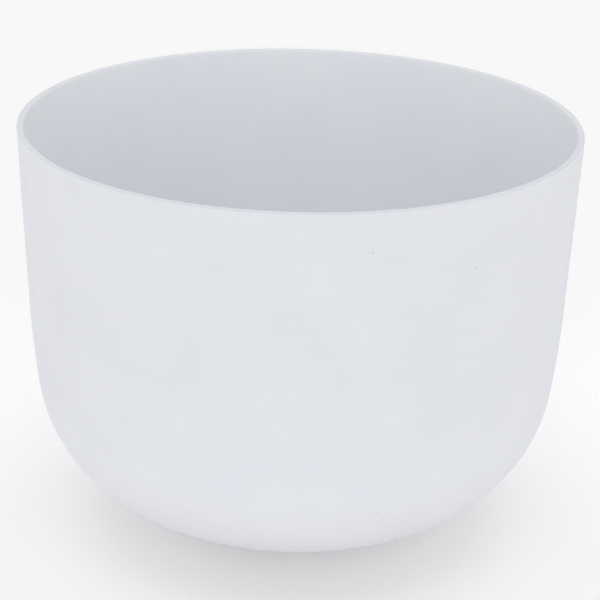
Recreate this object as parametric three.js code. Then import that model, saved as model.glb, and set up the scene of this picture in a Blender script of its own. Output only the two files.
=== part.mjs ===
// A frosted crystal singing bowl: one body of fused quartz, turned about +Z and standing on z = 0.
//
// The bowl is a figure of revolution, so its whole shape is one closed outline. From the rim down, the
// outside is a straight side that leans in a little, a slow belly curve, a tight knuckle and a shallow crown
// under the base. Each curve starts in the direction where the one before it ends. The inside follows the
// outside at the wall's thickness, which grows towards the middle of the base. The rim is cut off flat, both
// of its edges are broken, and the lowest part of the crown is ground away to make a foot.
//
// Millimetres, +Z up. The origin is the middle of the foot.

import * as THREE from "three";

// ---- Driving dimensions ----

const RIM_DIAMETER = 305; // across the outside of the rim
const HEIGHT = 234; // from the foot to the top of the rim
const WALL = 3.8; // thickness of the side
const BASE_WALL = 5.2; // thickness in the middle of the base, above the foot
const FOOT_GRIND = 2; // depth ground off the crown, which leaves the flat foot
const EDGE_BREAK = 0.6; // size of the chamfer on each edge of the rim
const BELLY_RADIUS = 538; // of the outside, on the slow curve below the straight side
const KNUCKLE_RADIUS = 83; // of the outside, on the turn from the side to the base

// How far the outside leans in from the vertical, in degrees, down to the end of each stretch.
const SIDE_LEAN = 2.4;
const BELLY_LEAN = 7.3;
const KNUCKLE_LEAN = 58.3;

// ---- Fineness of the facets ----

const SEGMENTS_AROUND = 80; // a multiple of four, so that the bowl is as wide along X as along Y
const BELLY_STEPS = 3;
const KNUCKLE_STEPS = 10;
const CROWN_STEPS = 6;

// ---- The finish ----

const FROSTED_QUARTZ = { color: "#e2e5ea", roughness: 0.75, metalness: 0 };

// ---- The sizes that follow ----

const sideLean = THREE.MathUtils.degToRad(SIDE_LEAN);
const bellyLean = THREE.MathUtils.degToRad(BELLY_LEAN);
const knuckleLean = THREE.MathUtils.degToRad(KNUCKLE_LEAN);
const poleLean = Math.PI / 2;
const rimRadius = RIM_DIAMETER / 2;

// How far a curve goes in towards the axis, and down, while its lean grows from one value to another.
const goesIn = (radius, from, to) => radius * (Math.cos(from) - Math.cos(to));
const goesDown = (radius, from, to) => radius * (Math.sin(to) - Math.sin(from));

const bendsIn =
  goesIn(BELLY_RADIUS, sideLean, bellyLean) + goesIn(KNUCKLE_RADIUS, bellyLean, knuckleLean);
const bendsDown =
  goesDown(BELLY_RADIUS, sideLean, bellyLean) + goesDown(KNUCKLE_RADIUS, bellyLean, knuckleLean);

// The crown meets the axis square on, so its depth is a fixed share of its width. The straight side takes the
// height that the curves and the crown leave. The longer it is, the narrower its lean makes the crown, which
// the divisor allows for.
const crownDepthPerWidth = (1 - Math.sin(knuckleLean)) / Math.cos(knuckleLean);
const heightWithoutSide = bendsDown + (rimRadius - bendsIn) * crownDepthPerWidth - FOOT_GRIND;
const sideLength =
  (HEIGHT - heightWithoutSide) / (Math.cos(sideLean) - Math.sin(sideLean) * crownDepthPerWidth);

const crownWidth = rimRadius - bendsIn - sideLength * Math.sin(sideLean);
const crownRadius = crownWidth / Math.cos(knuckleLean);
const footLean = Math.asin(1 - FOOT_GRIND / crownRadius);

// ---- The outline ----
// A place on the outside is a point, x from the axis and y up, with the lean there.

const outward = (lean) => new THREE.Vector2(Math.cos(lean), -Math.sin(lean));

// The places along an arc that leaves the place `start` smoothly and ends at the lean `endLean`.
function arcFrom(start, radius, endLean, steps) {
  const centre = start.point.clone().addScaledVector(outward(start.lean), -radius);
  return Array.from({ length: steps }, (_, i) => {
    const lean = THREE.MathUtils.lerp(start.lean, endLean, (i + 1) / steps);
    return { lean, point: centre.clone().addScaledVector(outward(lean), radius) };
  });
}

// The point on a side that meets the rim's plane at `radius`, at a distance `below` that plane.
function onSide(radius, below) {
  return new THREE.Vector2(radius - below * Math.tan(sideLean), HEIGHT - below);
}

// The wall is even down the side and the belly, and thickens smoothly from there to the middle of the base.
function thicknessAt(lean) {
  const share = THREE.MathUtils.smoothstep(lean, bellyLean, poleLean);
  return THREE.MathUtils.lerp(WALL, BASE_WALL + FOOT_GRIND, share);
}

function insideOf(place) {
  return place.point.clone().addScaledVector(outward(place.lean), -thicknessAt(place.lean));
}

function bowlOutline() {
  const sideEnd = { lean: sideLean, point: onSide(rimRadius, sideLength * Math.cos(sideLean)) };
  const belly = arcFrom(sideEnd, BELLY_RADIUS, bellyLean, BELLY_STEPS);
  const knuckle = arcFrom(belly.at(-1), KNUCKLE_RADIUS, knuckleLean, KNUCKLE_STEPS);
  const crownToFoot = arcFrom(knuckle.at(-1), crownRadius, footLean, CROWN_STEPS);
  const crownToAxis = arcFrom(knuckle.at(-1), crownRadius, poleLean, CROWN_STEPS);
  const curves = [sideEnd, ...belly, ...knuckle];

  const outside = [...curves, ...crownToFoot].map((place) => place.point);
  const inside = [...curves, ...crownToAxis].map(insideOf);
  outside.at(-1).y = 0; // exactly on the ground, with no rounding left over
  inside.at(-1).x = 0; // exactly on the axis

  const innerRadius = rimRadius - WALL / Math.cos(sideLean);
  const rim = [
    onSide(rimRadius, EDGE_BREAK),
    new THREE.Vector2(rimRadius - EDGE_BREAK, HEIGHT),
    new THREE.Vector2(innerRadius + EDGE_BREAK, HEIGHT),
    onSide(innerRadius, EDGE_BREAK),
  ];
  return [new THREE.Vector2(0, 0), ...outside.reverse(), ...rim, ...inside];
}

// ---- The part ----

function makeBowl() {
  const geometry = new THREE.LatheGeometry(bowlOutline(), SEGMENTS_AROUND);
  const bowl = new THREE.Mesh(geometry, new THREE.MeshStandardMaterial(FROSTED_QUARTZ));
  bowl.name = "bowl";
  bowl.rotation.x = Math.PI / 2; // a lathe turns about Y, and the bowl stands up along Z
  return bowl;
}

const singingBowl = new THREE.Group();
singingBowl.add(makeBowl());

export default singingBowl;
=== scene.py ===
# %% [markdown]
# # A frosted crystal singing bowl
# The bowl is one body of fused quartz. Quartz sand is spun against the wall of a turning graphite mould,
# and an electric arc melts it from the inside. The outside is left frosted, a skin of half-melted sand
# grains. The inside has run smooth. The rim is cut off with a diamond saw and ground flat. This lesson
# lathes the bowl as one closed mesh, gives each of those three surfaces its own material, and lights it
# softly. Lengths are in metres, and +Z is up.

import math

import bpy
from mathutils import Matrix, Vector, noise


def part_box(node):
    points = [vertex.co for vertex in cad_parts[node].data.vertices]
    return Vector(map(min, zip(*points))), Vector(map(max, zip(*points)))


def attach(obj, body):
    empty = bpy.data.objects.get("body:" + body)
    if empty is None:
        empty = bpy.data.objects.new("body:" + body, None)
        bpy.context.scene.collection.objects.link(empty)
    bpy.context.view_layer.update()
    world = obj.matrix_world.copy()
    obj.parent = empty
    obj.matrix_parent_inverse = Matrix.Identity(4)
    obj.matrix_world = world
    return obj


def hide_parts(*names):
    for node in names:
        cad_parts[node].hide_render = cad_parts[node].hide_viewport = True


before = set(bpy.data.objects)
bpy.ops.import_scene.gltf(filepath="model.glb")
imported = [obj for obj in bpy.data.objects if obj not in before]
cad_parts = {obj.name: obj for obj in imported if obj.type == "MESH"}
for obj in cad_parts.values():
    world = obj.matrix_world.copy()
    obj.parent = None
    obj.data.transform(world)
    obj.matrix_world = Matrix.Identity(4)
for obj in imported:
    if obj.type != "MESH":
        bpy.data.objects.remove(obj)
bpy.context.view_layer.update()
bowl_low, bowl_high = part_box("bowl")
print("the bowl's box, m:", [round(v, 4) for v in (*bowl_low, *bowl_high)])

# %% [markdown]
# ## The sizes of the bowl
# The overall size comes from the loaded model. The curves between are the bowl's own: a straight side that
# leans in a little, a slow belly, a tight knuckle, and a shallow crown under the base whose lowest part is
# ground flat. Each curve is named by its radius and by how far the outside leans where it ends.

# %% Sizes
MM = 0.001
WALL = 3.8 * MM
BASE_WALL = 5.2 * MM
FOOT_GRIND = 2.0 * MM
EDGE_BREAK = 0.6 * MM
BELLY_RADIUS = 538 * MM
KNUCKLE_RADIUS = 83 * MM
SIDE_LEAN = math.radians(2.4)
BELLY_LEAN = math.radians(7.3)
KNUCKLE_LEAN = math.radians(58.3)
UNDER = math.radians(90)

height = bowl_high.z - bowl_low.z
rim_radius = (bowl_high.x - bowl_low.x) / 2 + EDGE_BREAK * math.tan(SIDE_LEAN)
inner_radius = rim_radius - WALL / math.cos(SIDE_LEAN)
axis = Vector(((bowl_low.x + bowl_high.x) / 2, (bowl_low.y + bowl_high.y) / 2, bowl_low.z))
print("height, mm:", round(height / MM, 1), " rim radius, mm:", round(rim_radius / MM, 1))

# %% [markdown]
# ## The outline of the outside
# A bowl is a figure of revolution, so it is drawn as one outline, in radius and height, and turned about
# the axis. It could be sculpted or drawn as a free curve, but arcs that start in the direction where the
# last one ended leave no corner to catch the light, and a curve drawn by eye would show every flat and
# bulge in a finish as even as this. The crown must meet the axis square on, which fixes its radius, and the
# straight side takes the height that is left.

# %% Curves of the outside, from the rim down
SPACING = 3.0 * MM


def outward(lean):
    """The direction that the outside faces, in radius and height, where it leans in by this much."""
    return Vector((math.cos(lean), -math.sin(lean)))


def arc(start, start_lean, radius, end_lean):
    """Points and leans along an arc that leaves a point smoothly."""
    steps = max(2, round(radius * (end_lean - start_lean) / SPACING))
    centre = start - outward(start_lean) * radius
    leans = [start_lean + (end_lean - start_lean) * (i + 1) / steps for i in range(steps)]
    return [(centre + outward(lean) * radius, lean) for lean in leans]


def bends(radius, start, end):
    """How far an arc goes in and down between two leans."""
    return Vector((math.cos(start) - math.cos(end), math.sin(end) - math.sin(start))) * radius


def on_side(radius, below):
    """The point on a side that meets the rim's plane at this radius, at a depth below that plane."""
    return Vector((radius - below * math.tan(SIDE_LEAN), height - below))


curves = bends(BELLY_RADIUS, SIDE_LEAN, BELLY_LEAN) + bends(KNUCKLE_RADIUS, BELLY_LEAN, KNUCKLE_LEAN)
crown_depth = (1 - math.sin(KNUCKLE_LEAN)) / math.cos(KNUCKLE_LEAN)
side_drop = height + FOOT_GRIND - curves.y - (rim_radius - curves.x) * crown_depth
side_length = side_drop / (math.cos(SIDE_LEAN) - math.sin(SIDE_LEAN) * crown_depth)
crown_radius = (rim_radius - curves.x - side_length * math.sin(SIDE_LEAN)) / math.cos(KNUCKLE_LEAN)
foot_lean = math.asin(1 - FOOT_GRIND / crown_radius)

side_end = on_side(rim_radius, side_length * math.cos(SIDE_LEAN))
belly = arc(side_end, SIDE_LEAN, BELLY_RADIUS, BELLY_LEAN)
knuckle = arc(belly[-1][0], BELLY_LEAN, KNUCKLE_RADIUS, KNUCKLE_LEAN)
crown_to_foot = arc(knuckle[-1][0], KNUCKLE_LEAN, crown_radius, foot_lean)
crown_to_axis = arc(knuckle[-1][0], KNUCKLE_LEAN, crown_radius, UNDER)
print("straight side, mm:", round(side_length / MM, 1), " crown radius, mm:", round(crown_radius / MM, 1))
print("foot across, mm:", round(2 * crown_to_foot[-1][0].x / MM, 1))

# %% [markdown]
# ## The inside and the rim
# The wall is even down the side and grows towards the middle of the base, where the melt collects, so the
# inside is the outside moved in by that thickness. The rim is cut flat, its two edges are broken with a
# small chamfer, and the corners of each chamfer are a little round, as a diamond pad leaves them. A bevel
# modifier could round them, but here they are points of the outline, which costs nothing and keeps the skin
# closed. Each corner has a ring close by on either side, so that smooth shading turns within the corner and
# leaves the flats flat.

# %% The inside and the rim
CORNER = 0.12 * MM


def thickness(lean):
    """The thickness of the wall where the outside leans in by this much."""
    share = min(1, max(0, (lean - BELLY_LEAN) / (UNDER - BELLY_LEAN)))
    return WALL + (BASE_WALL + FOOT_GRIND - WALL) * share * share * (3 - 2 * share)


def rounded(before, corner, after):
    """Points in place of a corner: three that take its sharpness off, between two that hold the flats."""
    back = (before - corner).normalized() * CORNER
    on = (after - corner).normalized() * CORNER
    return [corner + back * 3, corner + back, corner + (back + on) / 4, corner + on, corner + on * 3]


places = [(side_end, SIDE_LEAN), *belly, *knuckle]
outside = [point for point, lean in places + crown_to_foot]
inside = [point - outward(lean) * thickness(lean) for point, lean in places + crown_to_axis]

corners = [
    on_side(rim_radius, side_length),
    on_side(rim_radius, EDGE_BREAK),
    Vector((rim_radius - EDGE_BREAK, height)),
    Vector((inner_radius + EDGE_BREAK, height)),
    on_side(inner_radius, EDGE_BREAK),
    on_side(inner_radius, side_length),
]
rim = [point for three in zip(corners, corners[1:], corners[2:]) for point in rounded(*three)]
print("rim face, mm:", round((rim_radius - inner_radius - 2 * EDGE_BREAK) / MM, 2), " points:", len(rim))

# %% [markdown]
# ## One outline, three finishes
# The outline runs from the middle of the foot, up the outside, over the rim and down the inside. Each
# stretch knows its finish, so that the ground foot and rim, the frosted outside and the melted inside end
# exactly where the saw and the grinding pad stopped.

# %% The whole outline
FROSTED, MELTED, GROUND = 0, 1, 2


def straight(start, end):
    """Points along a line, without its start."""
    steps = max(1, round((end - start).length / SPACING))
    return [start.lerp(end, (i + 1) / steps) for i in range(steps)]


foot_edge = Vector((outside[-1].x, 0))
stretches = [
    (straight(Vector((0, 0)), foot_edge), GROUND),
    (outside[-2::-1], FROSTED),
    (straight(side_end, rim[0]), FROSTED),
    (rim[1:2], FROSTED),
    (rim[2:-1], GROUND),
    (rim[-1:], MELTED),
    (straight(rim[-1], inside[0]), MELTED),
    (inside[1:-1], MELTED),
]
outline = [(point, finish) for points, finish in stretches for point in points]
print("rings in the outline:", len(outline))

# %% [markdown]
# ## The body
# Each point of the outline is turned into a ring and joined to the next, with one point on the axis at each
# end. That makes one closed skin, with no seam and no doubled points, where a Screw modifier would leave
# both to clean. Spun quartz is never quite true. Slow noise moves the surface in and out by about a tenth
# of a millimetre, which is what keeps a long soft reflection from looking like plastic. The rim and the
# foot stay true, because they are ground.

# %% Turn the outline into a mesh
AROUND = 360
WAVE_LENGTH = 45 * MM
WAVE_HEIGHT = 0.12 * MM
WAVE_SMOOTHNESS = 0.6
WAVE_FINER = 2.0  # each layer of waves is this much finer than the one before it
WAVE_LAYERS = 2
TRUE_BELOW_RIM = 12 * MM
TRUE_ABOVE_FOOT = 6 * MM


def waved(point):
    """A point of the wall moved by the slow unevenness of the spun quartz."""
    near_rim = min(1, max(0, (height - point.z) / TRUE_BELOW_RIM))
    near_foot = min(1, max(0, point.z / TRUE_ABOVE_FOOT))
    wave = noise.fractal(point / WAVE_LENGTH, WAVE_SMOOTHNESS, WAVE_FINER, WAVE_LAYERS)
    shift = wave * WAVE_HEIGHT * near_rim * near_foot
    return point + Vector((point.x, point.y, 0)).normalized() * shift


def make_bowl():
    """The rings of the outline, joined by faces, each with its finish."""
    points = [Vector((0, 0, 0))]
    for ring, _ in outline:
        for i in range(AROUND):
            turn = 2 * math.pi * i / AROUND
            points.append(waved(Vector((ring.x * math.cos(turn), ring.x * math.sin(turn), ring.y))))
    points.append(Vector((0, 0, BASE_WALL)))

    faces, finishes = [], []
    last_ring = len(outline) - 1
    for i in range(AROUND):
        j = (i + 1) % AROUND
        faces.append((0, 1 + j, 1 + i))
        finishes.append(GROUND)
        for k in range(last_ring):
            low, high = 1 + k * AROUND, 1 + (k + 1) * AROUND
            faces.append((low + i, low + j, high + j, high + i))
            finishes.append(outline[k + 1][1])
        low = 1 + last_ring * AROUND
        faces.append((low + i, low + j, len(points) - 1))
        finishes.append(MELTED)

    mesh = bpy.data.meshes.new("crystal_bowl")
    mesh.from_pydata([axis + p for p in points], [], faces)
    mesh.polygons.foreach_set("material_index", finishes)
    mesh.polygons.foreach_set("use_smooth", [True] * len(faces))
    bowl = bpy.data.objects.new("crystal_bowl", mesh)
    bpy.context.collection.objects.link(bowl)
    return bowl


bowl = make_bowl()
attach(bowl, "root")
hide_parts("bowl")
print("faces in the bowl:", len(bowl.data.polygons))

# %% [markdown]
# ## Colours and nodes
# Colours are written as the hex values that a colour chart would give, and turned to the linear values that
# the renderer works in. One small function adds a node, sets it and wires it, so that a material reads as a
# list.

# %% Two helpers


def linear(hex_colour):
    """An sRGB hex colour as linear red, green, blue and alpha."""
    values = [int(hex_colour[i : i + 2], 16) / 255 for i in (1, 3, 5)]
    return (*(v / 12.92 if v <= 0.04045 else ((v + 0.055) / 1.055) ** 2.4 for v in values), 1.0)


def add(tree, kind, inputs=None, **settings):
    """Adds a node. An input is given by its name or number, as a value or as the socket that feeds it."""
    node = tree.nodes.new(kind)
    for name, value in settings.items():
        setattr(node, name, value)
    for name, value in (inputs or {}).items():
        if isinstance(value, bpy.types.NodeSocket):
            tree.links.new(value, node.inputs[name])
        else:
            node.inputs[name].default_value = value
    return node


# A Mix node has an A, a B and a result for each kind of value. These are the ones for colours.
MIX_A, MIX_B, MIX_RESULT = 6, 7, 2
print("a mid grey, linear:", [round(v, 3) for v in linear("#808080")])

# %% [markdown]
# ## Fused quartz
# Fused quartz is clear glass, but sand that melts in a few minutes traps millions of fine bubbles, and they
# turn the body white. Light goes in, is scattered and comes out some millimetres away, or through the wall,
# so edges stay soft and the inside is lit partly through the side. Clear glass with a scattering volume in
# it would be the literal way, and is far too slow and noisy for a wall this white. Subsurface scattering
# gives the same look at the surface. All three finishes are cut from that one body, so one function makes
# the shader for all of them.

# %% The body that the three finishes share
QUARTZ_IOR = 1.46
BUBBLE_PATH = 6.0 * MM  # how far light wanders in the milky body: more than the wall, so some comes through


def new_material(name):
    made = bpy.data.materials.new(name)
    made.use_nodes = True
    made.node_tree.nodes.clear()
    return made, made.node_tree


def quartz_body(tree, colour, roughness, gloss, depth, normal):
    """White fused quartz. A gloss of 0.5 is a bare quartz surface, and 0 is one broken up into grains.
    The depth is the share of the light that goes into the body. The surface itself sends back the rest."""
    body = {
        "Base Color": colour,
        "Roughness": roughness,
        "IOR": QUARTZ_IOR,
        "Specular IOR Level": gloss,
        "Subsurface Weight": depth,
        "Subsurface Radius": (1.0, 1.0, 1.0),
        "Subsurface Scale": BUBBLE_PATH,
        "Normal": normal,
    }
    shader = add(tree, "ShaderNodeBsdfPrincipled", body)
    add(tree, "ShaderNodeOutputMaterial", {"Surface": shader.outputs[0]})


print("light wanders, mm:", BUBBLE_PATH / MM, " in a wall of, mm:", WALL / MM)

# %% [markdown]
# ## The frosted outside: grain
# Against the cold mould the sand only half melts, and it stays as a skin of grains about a third of a
# millimetre wide. It feels like fine sandpaper and has no shine at all. A map painted by hand could never
# be this even, so it is noise: fine grain for the sand, long flat streaks for the layers that it was spun
# on in, and slow clouds where the melt went a little deeper. Real grains are finer than the render can
# show, so they are drawn about three times as coarse. The tone varies by less than three per cent, which
# the eye reads as a soft powdery white.

# %% Grain, streaks and clouds
SAND_GRAIN = 1.0 * MM
LAYER_HEIGHT = 2.6 * MM
LAYER_LENGTH = 70 * MM
CLOUD = 38 * MM
GRAIN_DEPTH = 0.12 * MM
GRAIN_BUMP = 0.35
GRAIN_SHARE = 0.35
LAYER_SHARE = 0.15
CLOUD_SHARE = 0.5
TONE_LOW, TONE_HIGH = 0.4, 0.6  # the three patterns together seldom leave this range
NOISE_LOW, NOISE_HIGH = 0.3, 0.7  # and one alone seldom leaves this one


def sand_skin(tree, place):
    """The height of the sand grains, and the tone of the skin from 0, greyer, to 1, whiter."""
    grain = {"Vector": place, "Scale": 1 / SAND_GRAIN, "Detail": 3.0}
    grain = add(tree, "ShaderNodeTexNoise", grain).outputs[0]
    cloud = {"Vector": place, "Scale": 1 / CLOUD, "Detail": 3.0}
    cloud = add(tree, "ShaderNodeTexNoise", cloud).outputs[0]
    layers = (1 / LAYER_LENGTH, 1 / LAYER_LENGTH, 1 / LAYER_HEIGHT)
    layered = add(tree, "ShaderNodeVectorMath", {0: place, 1: layers}, operation="MULTIPLY").outputs[0]
    streak = {"Vector": layered, "Scale": 1.0, "Detail": 2.0}
    streak = add(tree, "ShaderNodeTexNoise", streak).outputs[0]
    tone = 0.0
    for pattern, share in ((grain, GRAIN_SHARE), (streak, LAYER_SHARE), (cloud, CLOUD_SHARE)):
        summed = {0: pattern, 1: share, 2: tone}
        tone = add(tree, "ShaderNodeMath", summed, operation="MULTIPLY_ADD").outputs[0]
    tone = {"Value": tone, "From Min": TONE_LOW, "From Max": TONE_HIGH}
    return grain, add(tree, "ShaderNodeMapRange", tone).outputs[0]


print("grains across the wall's thickness:", round(WALL / SAND_GRAIN, 1), " cloud, mm:", CLOUD / MM)

# %% [markdown]
# ## The frosted outside: specks
# Quartz sand is never quite clean. A grain of another mineral melts to a small grey-brown speck, sometimes
# with a paler smudge beside it, and an open bubble leaves a pinhole. The few marks that the eye finds first
# are placed one by one, by how far round the bowl they are, how high, and how wide. The pinholes are too
# many to place, so they are the centres of random cells, and most cells are left out.

# %% Specks and pinholes
# Degrees round from the front, height in mm, width in mm, and how dark from 0 to 1.
SPECKS = [
    (13.6, 213.6, 1.7, 0.30),
    (35.2, 197.8, 1.8, 0.34),
    (34.3, 196.2, 5.0, 0.06),
    (18.3, 66.0, 4.5, 0.08),
    (37.0, 205.0, 3.0, 0.04),
    (60.1, 117.8, 3.5, 0.06),
    (58.9, 215.0, 3.0, 0.05),
    (-96.0, 149.0, 1.5, 0.28),
    (-141.0, 92.0, 4.0, 0.07),
    (-168.0, 186.0, 1.6, 0.30),
    (128.0, 171.0, 1.4, 0.26),
    (151.0, 121.0, 4.2, 0.07),
    (104.0, 74.0, 1.6, 0.24),
]
SPECK_COLOUR = "#6f6862"
PINHOLE_CELL = 9 * MM
PINHOLE_WIDTH = 0.8 * MM
PINHOLE_DEPTH = 0.2 * MM
PINHOLE_BUMP = 0.5
PINHOLE_SHARE = 0.3
PINHOLE_SHADE = 0.25


def radius_at(level):
    """The radius of the outside at this height."""
    side = [point for point, finish in outline if finish == FROSTED]
    below = max((point for point in side if point.y <= level), key=lambda point: point.y)
    above = min((point for point in side if point.y > level), key=lambda point: point.y)
    return below.lerp(above, (level - below.y) / (above.y - below.y)).x


def on_outside(degrees_round, level):
    """The point on the outside at this angle round from the front and at this height."""
    turn = math.radians(degrees_round)
    return axis + Vector((math.sin(turn), -math.cos(turn), 0)) * radius_at(level) + Vector((0, 0, level))


def specked(tree, place, colour):
    """The colour with every speck mixed into it, soft at its edge."""
    for degrees_round, level, width, dark in SPECKS:
        centre = on_outside(degrees_round, level * MM)
        away = {0: place, 1: centre}
        away = add(tree, "ShaderNodeVectorMath", away, operation="DISTANCE").outputs["Value"]
        fade = {"Value": away, "From Max": width / 2 * MM, "To Min": dark, "To Max": 0.0}
        amount = add(tree, "ShaderNodeMapRange", fade, interpolation_type="SMOOTHSTEP").outputs[0]
        mixed = {"Factor": amount, MIX_A: colour, MIX_B: linear(SPECK_COLOUR)}
        colour = add(tree, "ShaderNodeMix", mixed, data_type="RGBA").outputs[MIX_RESULT]
    return colour


def pinholes(tree, place):
    """1 in a pinhole and 0 between them."""
    cells = add(tree, "ShaderNodeTexVoronoi", {"Vector": place, "Scale": 1 / PINHOLE_CELL})
    edge = PINHOLE_WIDTH / 2 / PINHOLE_CELL
    dot = {"Value": cells.outputs["Distance"], "From Min": edge / 2, "From Max": edge}
    dot.update({"To Min": 1.0, "To Max": 0.0})
    dot = add(tree, "ShaderNodeMapRange", dot).outputs[0]
    lot = add(tree, "ShaderNodeSeparateColor", {0: cells.outputs["Color"]}).outputs[0]
    kept = add(tree, "ShaderNodeMath", {0: lot, 1: 1 - PINHOLE_SHARE}, operation="GREATER_THAN").outputs[0]
    return add(tree, "ShaderNodeMath", {0: dot, 1: kept}, operation="MULTIPLY").outputs[0]


for degrees_round, level, width, _ in SPECKS[:2]:
    spot = on_outside(degrees_round, level * MM)
    print("a speck", width, "mm wide at, m:", [round(v, 4) for v in spot])

# %% [markdown]
# ## The frosted outside: material
# A surface of grains sends light back evenly, so the outside has no gloss at all, and its roughness is as
# high as it goes. The bump is the sand, with the pinholes sunk into it. The white is a little blue, as
# fused quartz is beside paper. Towards the foot a warm grey is mixed in, which fades in with the height:
# that is painted shade, which makes the lower outside darker. A plain matt white would be quicker, but it
# would give nothing for the eye to rest on close up. Light goes only part of the way into the body here,
# because the grains turn much of it back.

# %% Frosted outside
FROSTED_WHITE = "#eaecf1"
FROSTED_GREY = "#e7e9ef"
# The warm grey towards the foot, and how far up it reaches, are painted shade that darkens the lower outside.
FOOT_PAINTED_SHADE = "#d3d2d4"
FOOT_SHADE_TOP = 85 * MM
FOOT_SHADE_FULL = 15 * MM
FOOT_SHADE_SHARE = 0.6
FROSTED_ROUGHNESS = (0.9, 1.0)
FROSTED_GLOSS = 0.0
FROSTED_DEPTH = 0.4


def frosted_outside():
    made, tree = new_material("fused_quartz_frosted_by_sand")
    place = add(tree, "ShaderNodeTexCoord").outputs["Object"]
    grain, tone = sand_skin(tree, place)
    holes = pinholes(tree, place)

    skin = {"Factor": tone, MIX_A: linear(FROSTED_GREY), MIX_B: linear(FROSTED_WHITE)}
    skin = add(tree, "ShaderNodeMix", skin, data_type="RGBA").outputs[MIX_RESULT]
    # Painted shade: the warm grey is mixed in more the nearer the foot, for a darker lower outside.
    level = add(tree, "ShaderNodeSeparateXYZ", {0: place}).outputs["Z"]
    low = {"Value": level, "From Min": FOOT_SHADE_TOP, "From Max": FOOT_SHADE_FULL}
    low["To Max"] = FOOT_SHADE_SHARE
    low = add(tree, "ShaderNodeMapRange", low, interpolation_type="SMOOTHSTEP").outputs[0]
    skin = {"Factor": low, MIX_A: skin, MIX_B: linear(FOOT_PAINTED_SHADE)}
    skin = add(tree, "ShaderNodeMix", skin, data_type="RGBA").outputs[MIX_RESULT]
    holed = add(tree, "ShaderNodeMath", {0: holes, 1: PINHOLE_SHADE}, operation="MULTIPLY").outputs[0]
    skin = {"Factor": holed, MIX_A: skin, MIX_B: linear(SPECK_COLOUR)}
    skin = add(tree, "ShaderNodeMix", skin, data_type="RGBA").outputs[MIX_RESULT]

    sand = {"Height": grain, "Strength": GRAIN_BUMP, "Distance": GRAIN_DEPTH}
    sand = add(tree, "ShaderNodeBump", sand).outputs[0]
    sunk = {"Height": holes, "Distance": PINHOLE_DEPTH, "Strength": PINHOLE_BUMP, "Normal": sand}
    sunk = add(tree, "ShaderNodeBump", sunk, invert=True).outputs[0]
    rough = {"Value": grain, "From Min": NOISE_LOW, "From Max": NOISE_HIGH}
    rough.update({"To Min": FROSTED_ROUGHNESS[0], "To Max": FROSTED_ROUGHNESS[1]})
    rough = add(tree, "ShaderNodeMapRange", rough).outputs[0]
    quartz_body(tree, specked(tree, place, skin), rough, FROSTED_GLOSS, FROSTED_DEPTH, sunk)
    return made


bowl.data.materials.append(frosted_outside())
print("nodes in the frosted outside:", len(bowl.data.materials[FROSTED].node_tree.nodes))

# %% [markdown]
# ## The melted inside
# The arc burns inside the bowl, so there the quartz runs. It is smooth to the hand, with the low swells of
# a thick melt about a centimetre across, and fine bubbles just under the surface that show as paler dots.
# It keeps a satin gloss, seen only where the eye grazes the wall. The swells could be real waves in the
# mesh, but they are so shallow that only the gloss shows them, so bump is enough. All the light that enters
# the body wanders in it here, so some of what reaches the inside has come through the wall.

# %% Melted inside
MELTED_WHITE = "#f1f3f8"
MELTED_GREY = "#eef0f6"
SWELL = 11 * MM
SWELL_DEPTH = 0.15 * MM
SWELL_BUMP = 0.25
BUBBLE_CELL = 4 * MM
BUBBLE_WIDTH = 0.9 * MM
CLOUD_TONE = 0.7
BUBBLE_TONE = 0.5
MELTED_ROUGHNESS = (0.38, 0.46)
MELTED_GLOSS = 0.5
MELTED_DEPTH = 1.0


def melted_inside():
    made, tree = new_material("fused_quartz_melted_smooth")
    place = add(tree, "ShaderNodeTexCoord").outputs["Object"]
    swell = {"Vector": place, "Scale": 1 / SWELL, "Detail": 1.5}
    swell = add(tree, "ShaderNodeTexNoise", swell).outputs[0]
    cloud = {"Vector": place, "Scale": 1 / CLOUD, "Detail": 3.0}
    cloud = add(tree, "ShaderNodeTexNoise", cloud).outputs[0]
    cells = {"Vector": place, "Scale": 1 / BUBBLE_CELL}
    cells = add(tree, "ShaderNodeTexVoronoi", cells).outputs["Distance"]

    tone = {"Value": cloud, "From Min": 0.35, "From Max": 0.65, "To Max": CLOUD_TONE}
    tone = add(tree, "ShaderNodeMapRange", tone).outputs[0]
    edge = BUBBLE_WIDTH / 2 / BUBBLE_CELL
    dot = {"Value": cells, "From Max": edge, "To Min": BUBBLE_TONE, "To Max": 0.0}
    dot = add(tree, "ShaderNodeMapRange", dot).outputs[0]
    tone = add(tree, "ShaderNodeMath", {0: tone, 1: dot}, operation="ADD").outputs[0]
    melt = {"Factor": tone, MIX_A: linear(MELTED_GREY), MIX_B: linear(MELTED_WHITE)}
    melt = add(tree, "ShaderNodeMix", melt, data_type="RGBA").outputs[MIX_RESULT]

    bump = {"Height": swell, "Strength": SWELL_BUMP, "Distance": SWELL_DEPTH}
    bump = add(tree, "ShaderNodeBump", bump).outputs[0]
    rough = {"Value": cloud, "From Min": NOISE_LOW, "From Max": NOISE_HIGH}
    rough.update({"To Min": MELTED_ROUGHNESS[0], "To Max": MELTED_ROUGHNESS[1]})
    rough = add(tree, "ShaderNodeMapRange", rough).outputs[0]
    quartz_body(tree, melt, rough, MELTED_GLOSS, MELTED_DEPTH, bump)
    return made


bowl.data.materials.append(melted_inside())
print("nodes in the melted inside:", len(bowl.data.materials[MELTED].node_tree.nodes))
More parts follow.
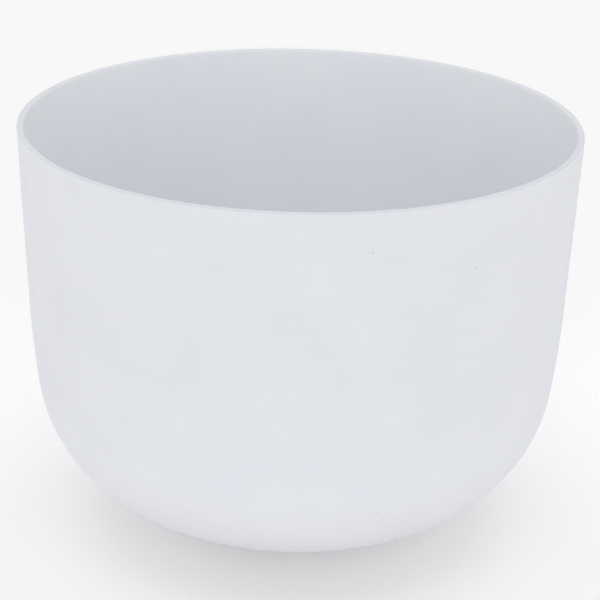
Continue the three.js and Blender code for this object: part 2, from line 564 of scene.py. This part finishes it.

# %% [markdown]
# ## The ground rim and foot
# The rim is cut with a diamond saw and flattened on a turning plate, which leaves fine scratches that run
# round it. The chamfer inside is painted a little lighter, a painted highlight along the inner edge. The
# outer corner of the face is painted greyer, a painted shade, so the rim ends in a thin, faint line. Its
# place wavers, because it is rubbed by hand. All of that goes by the distance from the axis, so the
# material works it out from that. Separate faces with a material each would do it too, but their borders
# could not waver.

# %% Ground rim and foot
RIM_FACE = "#e7eaf2"
# The inside chamfer's lighter colour is a painted highlight along the rim's inner edge.
RIM_INSIDE = "#ebeef5"
# The grey at the outer corner of the face is painted shade, a thin dark line along the rim's outer edge.
RIM_PAINTED_SHADE = "#dde0e8"
SHADE_LINE_REACH = 0.45 * MM  # to either side of the corner
SCRATCH = 0.3 * MM  # about four times the real grit, so that it shows
SCRATCH_DEPTH = 0.03 * MM
SCRATCH_BUMP = 0.3
WAVER_LENGTH = 7 * MM
WAVER = 0.35 * MM
GROUND_ROUGHNESS = (0.5, 0.7)
GROUND_GLOSS = 0.2
GROUND_DEPTH = 0.8


def ground_rim():
    made, tree = new_material("fused_quartz_ground_flat")
    place = add(tree, "ShaderNodeTexCoord").outputs["Object"]
    flat = {0: place, 1: (1, 1, 0)}
    flat = add(tree, "ShaderNodeVectorMath", flat, operation="MULTIPLY").outputs[0]
    from_axis = add(tree, "ShaderNodeVectorMath", {0: flat}, operation="LENGTH").outputs["Value"]
    waver = {"Vector": place, "Scale": 1 / WAVER_LENGTH, "Detail": 4.0}
    waver = add(tree, "ShaderNodeTexNoise", waver).outputs[0]
    wavered = {0: waver, 1: WAVER, 2: from_axis}
    wavered = add(tree, "ShaderNodeMath", wavered, operation="MULTIPLY_ADD").outputs[0]
    scratches = {"W": from_axis, "Scale": 1 / SCRATCH, "Detail": 2.0}
    scratches = add(tree, "ShaderNodeTexNoise", scratches, noise_dimensions="1D").outputs[0]

    # Noise averages a half, so both edges move out by half of the waver.
    inner_edge = inner_radius + EDGE_BREAK + WAVER / 2
    outer_edge = rim_radius - EDGE_BREAK + WAVER / 2
    # Inside the inner edge the colour goes lighter: a painted highlight on the inner chamfer.
    face = {"Value": wavered, "From Min": inner_edge - WAVER, "From Max": inner_edge + WAVER}
    face = add(tree, "ShaderNodeMapRange", face).outputs[0]
    # A thin band round the outer edge goes greyer: a painted shade line.
    shade_line = {0: wavered, 1: outer_edge, 2: SHADE_LINE_REACH}
    shade_line = add(tree, "ShaderNodeMath", shade_line, operation="COMPARE").outputs[0]
    tint = {"Factor": face, MIX_A: linear(RIM_INSIDE), MIX_B: linear(RIM_FACE)}
    tint = add(tree, "ShaderNodeMix", tint, data_type="RGBA").outputs[MIX_RESULT]
    tint = {"Factor": shade_line, MIX_A: tint, MIX_B: linear(RIM_PAINTED_SHADE)}
    tint = add(tree, "ShaderNodeMix", tint, data_type="RGBA").outputs[MIX_RESULT]

    bump = {"Height": scratches, "Strength": SCRATCH_BUMP, "Distance": SCRATCH_DEPTH}
    bump = add(tree, "ShaderNodeBump", bump).outputs[0]
    rough = {"Value": scratches, "From Min": NOISE_LOW, "From Max": NOISE_HIGH}
    rough.update({"To Min": GROUND_ROUGHNESS[0], "To Max": GROUND_ROUGHNESS[1]})
    rough = add(tree, "ShaderNodeMapRange", rough).outputs[0]
    quartz_body(tree, tint, rough, GROUND_GLOSS, GROUND_DEPTH, bump)
    return made


bowl.data.materials.append(ground_rim())
print("materials on the bowl:", [material.name for material in bowl.data.materials])

# %% [markdown]
# ## The floor
# The bowl stands on a plain white board, wide enough that its far edge is never in sight. The board is lit
# a little from behind, as a light table is, so that it stays nearly white and the shadow under the bowl
# stays soft. A curved paper sweep would hide the horizon too, but it would only do so from one side. The
# board has the faint mottle of pressed pulp.

# %% Floor
FLOOR_HALF = 20.0
FLOOR_WHITE = "#fdfdfd"
FLOOR_SHADE = "#fafafa"
FLOOR_GLOW = 0.165
PULP = 3 * MM


def white_board():
    signs = ((-1, -1), (1, -1), (1, 1), (-1, 1))
    corners = [(x * FLOOR_HALF, y * FLOOR_HALF, bowl_low.z) for x, y in signs]
    mesh = bpy.data.meshes.new("floor")
    mesh.from_pydata(corners, [], [(0, 1, 2, 3)])
    board = bpy.data.objects.new("floor", mesh)
    bpy.context.collection.objects.link(board)
    made, tree = new_material("matt_white_board")
    place = add(tree, "ShaderNodeTexCoord").outputs["Object"]
    pulp = {"Vector": place, "Scale": 1 / PULP, "Detail": 2.0}
    pulp = add(tree, "ShaderNodeTexNoise", pulp).outputs[0]
    paper = {"Factor": pulp, MIX_A: linear(FLOOR_SHADE), MIX_B: linear(FLOOR_WHITE)}
    paper = add(tree, "ShaderNodeMix", paper, data_type="RGBA").outputs[MIX_RESULT]
    white = {"Base Color": paper, "Roughness": 0.9, "Specular IOR Level": 0.1}
    white.update({"Emission Color": (1, 1, 1, 1), "Emission Strength": FLOOR_GLOW})
    shader = add(tree, "ShaderNodeBsdfPrincipled", white)
    add(tree, "ShaderNodeOutputMaterial", {"Surface": shader.outputs[0]})
    mesh.materials.append(made)
    return board


white_board()
print("floor, m across:", 2 * FLOOR_HALF)

# %% [markdown]
# ## The light
# A white bowl is lit like white crockery: from large soft sources, because the body's own soft shading
# would be lost under the hard shadows of small ones. A white tent stands round it, bright at the height of
# the bowl and darker overhead, which is why the inside is greyer than the outside. Lamps with a very wide
# disc add to it from the front, from both sides behind, and from above. Area lamps would do as well, but
# their light falls off across the bowl, and a lamp that is infinitely far away is as strong at the rim as
# at the foot.

# %% Light
scene = bpy.context.scene
TENT_LOW = 0.95
TENT_HIGH = 0.25
TENT_TURNS = (0.2, 0.5)  # the sine of the height above the horizon, where the tent starts and stops to darken


def light_tent():
    world = bpy.data.worlds.new("light_tent")
    scene.world = world
    world.use_nodes = True
    tree = world.node_tree
    tree.nodes.clear()
    way = add(tree, "ShaderNodeTexCoord").outputs["Generated"]
    rise = add(tree, "ShaderNodeSeparateXYZ", {0: way}).outputs["Z"]
    fall = {"Value": rise, "From Min": TENT_TURNS[0], "From Max": TENT_TURNS[1]}
    fall.update({"To Min": TENT_LOW, "To Max": TENT_HIGH})
    fall = add(tree, "ShaderNodeMapRange", fall, interpolation_type="SMOOTHSTEP").outputs[0]
    sky = add(tree, "ShaderNodeBackground", {"Color": (1, 1, 1, 1), "Strength": fall})
    add(tree, "ShaderNodeOutputWorld", {"Surface": sky.outputs[0]})


light_tent()

# Degrees round from the front, degrees up, and strength.
SOFT_LAMPS = [
    (0, 15, 0.38),
    (0, 45, 0.20),
    (120, 45, 0.31),
    (-120, 45, 0.31),
    (0, 90, 0.78),
]
LAMP_SPREAD = math.radians(60)


def soft_lamp(degrees_round, degrees_up, strength):
    lamp = bpy.data.lights.new("soft_lamp", "SUN")
    lamp.energy = strength
    lamp.angle = LAMP_SPREAD
    turn, rise = math.radians(degrees_round), math.radians(degrees_up)
    towards = Vector((math.sin(turn) * math.cos(rise), -math.cos(turn) * math.cos(rise), math.sin(rise)))
    piece = bpy.data.objects.new("soft_lamp", lamp)
    piece.rotation_mode = "QUATERNION"
    piece.rotation_quaternion = towards.to_track_quat("Z", "Y")
    bpy.context.collection.objects.link(piece)


for lamp in SOFT_LAMPS:
    soft_lamp(*lamp)
scene.view_settings.view_transform = "Standard"
print("soft lamps:", len(SOFT_LAMPS))

# %% [markdown]
# ## The camera
# The bowl is seen from a little above, near enough that its sides visibly taper. A camera can be turned by
# hand until the view looks right, but a distance and a rise from the middle of the rim can be reasoned
# about. It is aimed below the rim, so that the bowl fills the frame.

# %% Camera
CAMERA_DISTANCE = 1.0675
CAMERA_RISE = math.radians(16.72)
CAMERA_ROLL = math.radians(1.4)
LENS = 118
SENSOR = 36
AIM_RIGHT = 1.8 * MM
AIM_BELOW = 104.7 * MM
rim_centre = axis + Vector((0, 0, height))
eye = rim_centre + Vector((0, -math.cos(CAMERA_RISE), math.sin(CAMERA_RISE))) * CAMERA_DISTANCE
aim = rim_centre + Vector((AIM_RIGHT, 0, -AIM_BELOW))
camera = bpy.data.objects.new("camera", bpy.data.cameras.new("camera"))
camera.data.lens = LENS
camera.data.sensor_width = SENSOR
camera.matrix_world = (
    Matrix.Translation(eye)
    @ (aim - eye).to_track_quat("-Z", "Y").to_matrix().to_4x4()
    @ Matrix.Rotation(CAMERA_ROLL, 4, "Z")
)
bpy.context.collection.objects.link(camera)
scene.camera = camera
print("camera at, m:", [round(v, 3) for v in eye])
